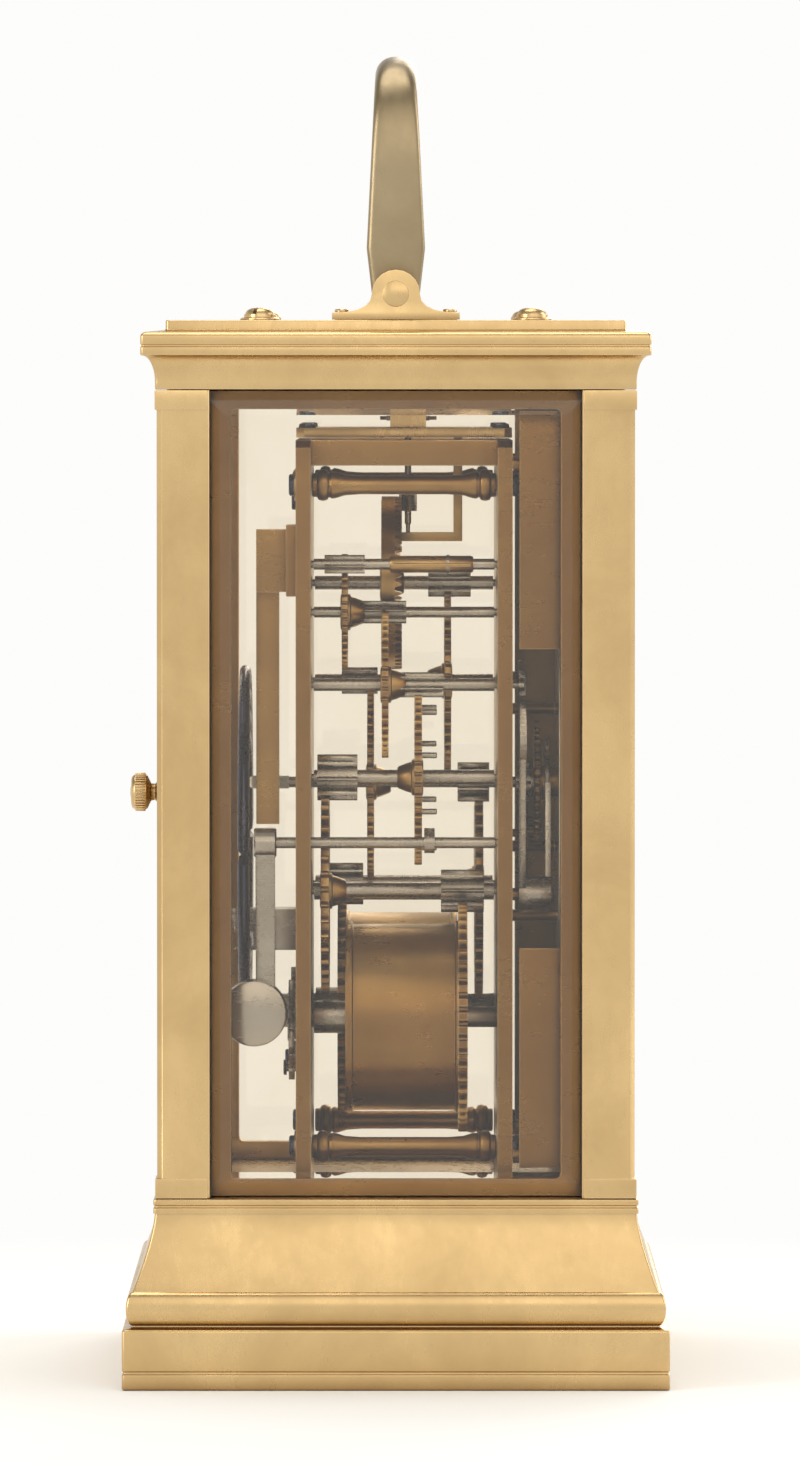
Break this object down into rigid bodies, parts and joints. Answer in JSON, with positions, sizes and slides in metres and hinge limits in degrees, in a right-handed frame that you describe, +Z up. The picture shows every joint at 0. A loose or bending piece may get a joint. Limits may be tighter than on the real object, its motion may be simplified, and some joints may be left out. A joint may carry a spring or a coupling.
{
  "type": "carriage clock",
  "caption": "Glazed gilt-brass carriage clock with folding handle, opening back door, geared going and striking trains, platform escapement, gong and hammer.",
  "frame": {"origin": "middle of the base on the surface that it stands on", "axes": "+Z up, the dial faces -Y and the back door +Y, +X to the right as seen from the dial side"},
  "size_m": [0.0848, 0.0728, 0.1774],
  "materials": {
    "gilt_brass": "gilt, polished and a little aged",
    "movement_brass": "brushed and lacquered",
    "polished_steel": "polished",
    "blued_steel": "heat blued",
    "clear_glass": "clear, bevelled",
    "white_enamel": "glossy enamel"
  },
  "bodies": {
    "case": {"base": "gilt_brass", "base_plate": "movement_brass", "pillar_front_left": "gilt_brass", "pillar_front_right": "gilt_brass", "pillar_back_left": "gilt_brass", "pillar_back_right": "gilt_brass", "cornice": "gilt_brass", "top_glass": "clear_glass", "front_glass": "clear_glass", "left_glass": "clear_glass", "right_glass": "clear_glass", "handle_post_left": "gilt_brass", "handle_post_right": "gilt_brass", "dial": "white_enamel", "dial_mask": "gilt_brass", "front_plate": "movement_brass", "back_plate": "movement_brass", "movement_pillar_lower_left": "movement_brass", "movement_pillar_lower_right": "movement_brass", "movement_pillar_upper_left": "movement_brass", "movement_pillar_upper_right": "movement_brass", "gong": "blued_steel", "gong_block": "movement_brass", "platform": "movement_brass", "potence": "movement_brass", "escape_bridge": "movement_brass", "balance_cock": "movement_brass", "hairspring": "blued_steel"},
    "handle": {"handle": "gilt_brass"},
    "back_door": {"back_door_frame": "gilt_brass", "back_door_glass": "clear_glass", "back_door_knob": "gilt_brass"},
    "centre": {"centre_wheel": "movement_brass", "cannon_pinion": "polished_steel", "minute_hand": "blued_steel"},
    "hour_work": {"hour_wheel": "movement_brass", "hour_hand": "blued_steel"},
    "minute_work": {"minute_wheel": "movement_brass"},
    "going_barrel": {"going_barrel": "movement_brass"},
    "going_barrel_arbor": {"going_barrel_arbor": "polished_steel", "going_ratchet": "polished_steel"},
    "going_click": {"going_click": "polished_steel"},
    "going_second_wheel": {"going_second_wheel": "movement_brass"},
    "third_wheel": {"third_wheel": "movement_brass"},
    "contrate_wheel": {"contrate_wheel": "movement_brass"},
    "escape_wheel": {"escape_wheel": "movement_brass"},
    "pallet_fork": {"pallet_fork": "polished_steel"},
    "balance": {"balance_wheel": "movement_brass"},
    "strike_barrel": {"strike_barrel": "movement_brass"},
    "strike_barrel_arbor": {"strike_barrel_arbor": "polished_steel", "strike_ratchet": "polished_steel"},
    "strike_click": {"strike_click": "polished_steel"},
    "strike_second_wheel": {"strike_second_wheel": "movement_brass"},
    "pin_wheel": {"pin_wheel": "movement_brass"},
    "locking_wheel": {"locking_wheel": "movement_brass"},
    "warning_wheel": {"warning_wheel": "movement_brass"},
    "fly": {"fly": "movement_brass"},
    "hammer": {"hammer": "polished_steel"},
    "rack": {"rack": "polished_steel"},
    "rack_hook": {"rack_hook": "polished_steel"}
  },
  "joints": [
    {"name": "handle_fold", "type": "hinge", "parent": "case", "child": "handle", "pos_m": [0, 0, 0.1454], "axis": [1, 0, 0], "range_deg": [-80, 80]},
    {"name": "door_swing", "type": "hinge", "parent": "case", "child": "back_door", "pos_m": [0.02875, 0.0295, 0.0789], "axis": [0, 0, -1], "range_deg": [0, 90]},
    {"name": "centre_turn", "type": "hinge", "parent": "case", "child": "centre", "pos_m": [0, 0, 0.07913], "axis": [0, 1, 0], "continuous": true},
    {"name": "strike_turn", "type": "hinge", "parent": "case", "child": "pin_wheel", "pos_m": [-0.0145, 0, 0.08033], "axis": [0, 1, 0], "continuous": true},
    {"name": "hour_turn", "type": "hinge", "parent": "case", "child": "hour_work", "pos_m": [0, 0, 0.07913], "axis": [0, 1, 0], "continuous": true},
    {"name": "minute_wheel_turn", "type": "hinge", "parent": "case", "child": "minute_work", "pos_m": [0.007, 0, 0.07188], "axis": [0, 1, 0], "continuous": true},
    {"name": "going_barrel_turn", "type": "hinge", "parent": "case", "child": "going_barrel", "pos_m": [0.015, 0, 0.048], "axis": [0, 1, 0], "continuous": true},
    {"name": "going_second_turn", "type": "hinge", "parent": "case", "child": "going_second_wheel", "pos_m": [0.01, 0, 0.06477], "axis": [0, 1, 0], "continuous": true},
    {"name": "third_turn", "type": "hinge", "parent": "case", "child": "third_wheel", "pos_m": [0.0045, 0, 0.09281], "axis": [0, 1, 0], "continuous": true},
    {"name": "contrate_turn", "type": "hinge", "parent": "case", "child": "contrate_wheel", "pos_m": [0.0025, 0, 0.10626], "axis": [0, 1, 0], "continuous": true},
    {"name": "escape_turn", "type": "hinge", "parent": "case", "child": "escape_wheel", "pos_m": [0.0025, -0.00164, 0], "axis": [0, 0, 1], "continuous": true},
    {"name": "strike_barrel_turn", "type": "hinge", "parent": "case", "child": "strike_barrel", "pos_m": [-0.015, 0, 0.048], "axis": [0, 1, 0], "continuous": true},
    {"name": "strike_second_turn", "type": "hinge", "parent": "case", "child": "strike_second_wheel", "pos_m": [-0.01, 0, 0.06477], "axis": [0, 1, 0], "continuous": true},
    {"name": "locking_turn", "type": "hinge", "parent": "case", "child": "locking_wheel", "pos_m": [-0.017, 0, 0.09291], "axis": [0, 1, 0], "continuous": true},
    {"name": "warning_turn", "type": "hinge", "parent": "case", "child": "warning_wheel", "pos_m": [-0.0122, 0, 0.10259], "axis": [0, 1, 0], "continuous": true},
    {"name": "fly_turn", "type": "hinge", "parent": "case", "child": "fly", "pos_m": [-0.0178, 0, 0.10917], "axis": [0, 1, 0], "continuous": true},
    {"name": "going_winding", "type": "hinge", "parent": "case", "child": "going_barrel_arbor", "pos_m": [0.015, 0, 0.048], "axis": [0, 1, 0], "continuous": true},
    {"name": "strike_winding", "type": "hinge", "parent": "case", "child": "strike_barrel_arbor", "pos_m": [-0.015, 0, 0.048], "axis": [0, 1, 0], "continuous": true},
    {"name": "going_click_lift", "type": "hinge", "parent": "case", "child": "going_click", "pos_m": [0.0109, 0, 0.0409], "axis": [0, 1, 0], "range_deg": [0, 12]},
    {"name": "strike_click_lift", "type": "hinge", "parent": "case", "child": "strike_click", "pos_m": [-0.0109, 0, 0.0409], "axis": [0, -1, 0], "range_deg": [0, 12]},
    {"name": "hammer_lift", "type": "hinge", "parent": "case", "child": "hammer", "pos_m": [-0.0252, 0, 0.072], "axis": [0, 1, 0], "range_deg": [0, 12]},
    {"name": "rack_fall", "type": "hinge", "parent": "case", "child": "rack", "pos_m": [-0.0135, 0, 0.0645], "axis": [0, 1, 0], "range_deg": [0, 20]},
    {"name": "rack_hook_lift", "type": "hinge", "parent": "case", "child": "rack_hook", "pos_m": [-0.0045, 0, 0.09353], "axis": [0, 1, 0], "range_deg": [0, 6]},
    {"name": "fork_tilt", "type": "hinge", "parent": "case", "child": "pallet_fork", "pos_m": [-0.003, -0.00164, 0], "axis": [0, 0, 1], "range_deg": [-5, 5]},
    {"name": "balance_swing", "type": "hinge", "parent": "case", "child": "balance", "pos_m": [-0.0088, -0.00164, 0], "axis": [0, 0, 1], "range_deg": [-120, 120], "stiffness_Nm_per_rad": 0.000005}
  ],
  "couplings": [
    {"joint": "going_second_turn", "follows": "centre_turn", "ratio": -0.16667},
    {"joint": "going_barrel_turn", "follows": "centre_turn", "ratio": 0.027778},
    {"joint": "third_turn", "follows": "centre_turn", "ratio": -8},
    {"joint": "contrate_turn", "follows": "centre_turn", "ratio": 60},
    {"joint": "escape_turn", "follows": "centre_turn", "ratio": -600},
    {"joint": "minute_wheel_turn", "follows": "centre_turn", "ratio": -0.33333},
    {"joint": "hour_turn", "follows": "centre_turn", "ratio": 0.083333},
    {"joint": "strike_second_turn", "follows": "strike_turn", "ratio": -0.2},
    {"joint": "strike_barrel_turn", "follows": "strike_turn", "ratio": 0.033333},
    {"joint": "locking_turn", "follows": "strike_turn", "ratio": -8},
    {"joint": "warning_turn", "follows": "strike_turn", "ratio": 56},
    {"joint": "fly_turn", "follows": "strike_turn", "ratio": -392}
  ]
}
